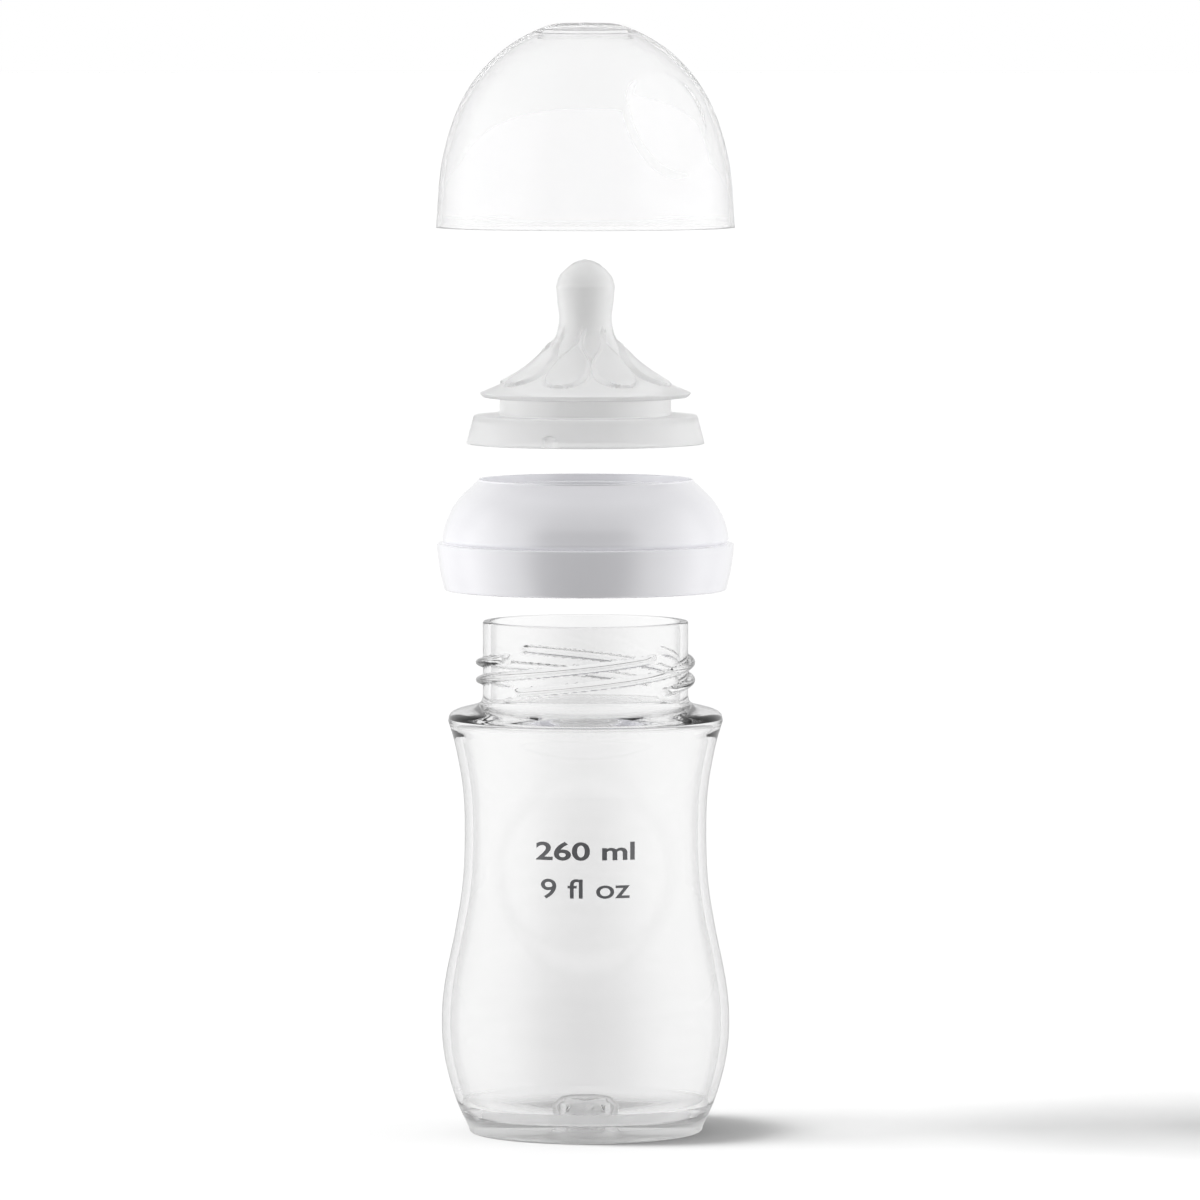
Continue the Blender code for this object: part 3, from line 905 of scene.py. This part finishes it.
def gate_rib(start, end):
    """The low round rib under the crown, from the inner skin outside it to the crown inside it."""
    gate_low, gate_high = GATE_R - GATE_WIDE / 2, GATE_R + GATE_WIDE / 2
    level = start[1]
    corners = [
        start,
        (gate_high, level, GATE_FILLET / 2),
        (gate_high - 0.05, level - GATE_DEEP, GATE_FILLET),
        (gate_low + 0.05, level - GATE_DEEP, GATE_FILLET),
        (gate_low, end[1], GATE_FILLET / 2),
        end,
    ]
    return rounded(corners, 3)


def make_cap():
    outer = dome_line(0.0, DOME_STEPS)
    inner = [point for point in reversed(dome_line(CAP_WALL, DOME_STEPS)) if point[1] > 1.5]
    inner_side = [point for point in inner if point[0] > GATE_R + GATE_WIDE / 2 + GATE_FILLET]
    crown = [point for point in inner if point[0] < GATE_R - GATE_WIDE / 2 - GATE_FILLET]
    rib = gate_rib(inner_side[-1], crown[0])
    rim_corners = [outer[-1], (CAP_R, 0.0), (CAP_RIM_BORE, 0.0, 0.4), (CAP_RIM_BORE, 1.0), inner_side[0]]
    rim = rounded(rim_corners, 3)
    cap = turned(
        "dome_cap",
        [(outer, dished(0.0)), (rim, None), (inner_side, dished(CAP_WALL)), (rib, None), (crown, None)],
        CAP_FOOT,
        turns=CAP_TURNS,
    )
    cap.data.materials.append(cap_plastic())
    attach(cap, "cap")
    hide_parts("cap")
    return cap


# ---------------------------------------------------------------- studio

CAMERA_AWAY, CAMERA_HIGH = 2.2, 0.27
VIEW_WIDE = 0.2898
AXIS_OFF, VIEW_LOW = 0.0035, -0.0161
SENSOR, FAR_CLIP = 36.0, 60.0
FLOOR_REACH = 40.0
FLOOR_LAMP_SOFT, FLOOR_LAMP_POWER, FLOOR_LAMP_AIM = 26.0, 12.9, (1.0, 0.06, -0.78)
# The studio's brightness by turn in degrees, as gloss and shade see it: a lamp on either side, a dim front.
SIDE_LAMPS = [
    (-180, 0.95),
    (-125, 1.1),
    (-100, 2.2),
    (-60, 2.2),
    (-29, 0.04),
    (24, 0.04),
    (57, 1.85),
    (100, 1.9),
    (125, 1.0),
    (180, 0.95),
]
OVERHEAD = (0.8, 0.8, 0.8, 1.0)
WHITE = (1.0, 1.0, 1.0, 1.0)


def make_camera():
    aim = Vector((AXIS_OFF, 0.0, VIEW_LOW + VIEW_WIDE / 2))
    spot = Vector((AXIS_OFF, -CAMERA_AWAY, CAMERA_HIGH))
    data = bpy.data.cameras.new("camera")
    data.sensor_width = SENSOR
    data.lens = data.sensor_width * (aim - spot).length / VIEW_WIDE
    data.clip_end = FAR_CLIP
    camera = bpy.data.objects.new("camera", data)
    camera.location = spot
    camera.rotation_euler = (aim - spot).to_track_quat("-Z", "Y").to_euler()
    bpy.context.scene.collection.objects.link(camera)
    bpy.context.scene.camera = camera


def make_world():
    """White all round to the eye and through clear plastic; the studio lamps for gloss and shade."""
    world = bpy.data.worlds.new("studio")
    world.use_nodes = True
    tree = world.node_tree
    tree.nodes.clear()
    direction = node(tree, "ShaderNodeTexCoord").outputs["Generated"]
    split = node(tree, "ShaderNodeSeparateXYZ", {0: direction}).outputs
    ahead = node(tree, "ShaderNodeMath", {0: split["Y"], 1: -1.0}, operation="MULTIPLY").outputs[0]
    turn = node(tree, "ShaderNodeMath", {0: split["X"], 1: ahead}, operation="ARCTAN2").outputs[0]
    spread = {"Value": turn, "From Min": -pi, "From Max": pi, "To Min": 0.0, "To Max": 1.0}
    share = node(tree, "ShaderNodeMapRange", spread).outputs["Result"]
    sides = ramp(tree, share, [((angle + 180) / 360, value) for angle, value in SIDE_LAMPS])
    above = ramp(tree, split["Z"], [(0.0, 0.0), (0.35, 0.0), (0.8, 0.9), (1.0, 1.0)])
    studio = colour_mix(tree, above, sides, OVERHEAD)
    steep = node(tree, "ShaderNodeMath", {0: split["Z"]}, operation="ABSOLUTE").outputs[0]
    through = ramp(tree, steep, [(0.0, 1.0), (0.55, 1.0), (0.95, 0.5)])
    path = node(tree, "ShaderNodeLightPath").outputs
    seen = colour_mix(tree, path["Is Transmission Ray"], studio, through)
    final = colour_mix(tree, path["Is Camera Ray"], seen, WHITE)
    light = node(tree, "ShaderNodeBackground", {"Color": final}).outputs[0]
    node(tree, "ShaderNodeOutputWorld", {"Surface": light})
    bpy.context.scene.world = world


def make_floor():
    shape = bmesh.new()
    bmesh.ops.create_grid(shape, x_segments=1, y_segments=1, size=FLOOR_REACH)
    mesh = bpy.data.meshes.new("floor")
    shape.to_mesh(mesh)
    shape.free()
    mesh.materials.append(floor_white())
    floor = bpy.data.objects.new("floor", mesh)
    bpy.context.scene.collection.objects.link(floor)
    floor.visible_diffuse = False
    floor.visible_glossy = False
    return floor


def make_floor_lamp(floor):
    """A soft lamp from the left that only the floor receives, for the base's shadow."""
    data = bpy.data.lights.new("floor_lamp", "SUN")
    data.angle = radians(FLOOR_LAMP_SOFT)
    data.energy = FLOOR_LAMP_POWER
    lamp = bpy.data.objects.new("floor_lamp", data)
    lamp.rotation_euler = Vector(FLOOR_LAMP_AIM).to_track_quat("-Z", "Y").to_euler()
    bpy.context.scene.collection.objects.link(lamp)
    lit = bpy.data.collections.new("lit_by_floor_lamp")
    lit.objects.link(floor)
    lamp.light_linking.receiver_collection = lit


def main():
    scene = bpy.context.scene
    scene.view_settings.view_transform = "Standard"
    make_camera()
    make_world()
    make_floor_lamp(make_floor())
    make_bottle()
    skin = ink()
    print_line("print_volume", "260 ml", 24.4, 4.5, PANEL_Z + 5.2, 0.022, skin)
    print_line("print_ounces", "9 fl oz", 21.8, 4.7, PANEL_Z - 3.8, 0.008, skin)
    make_shell()
    make_sleeve()
    make_teat()
    make_cap()


main()
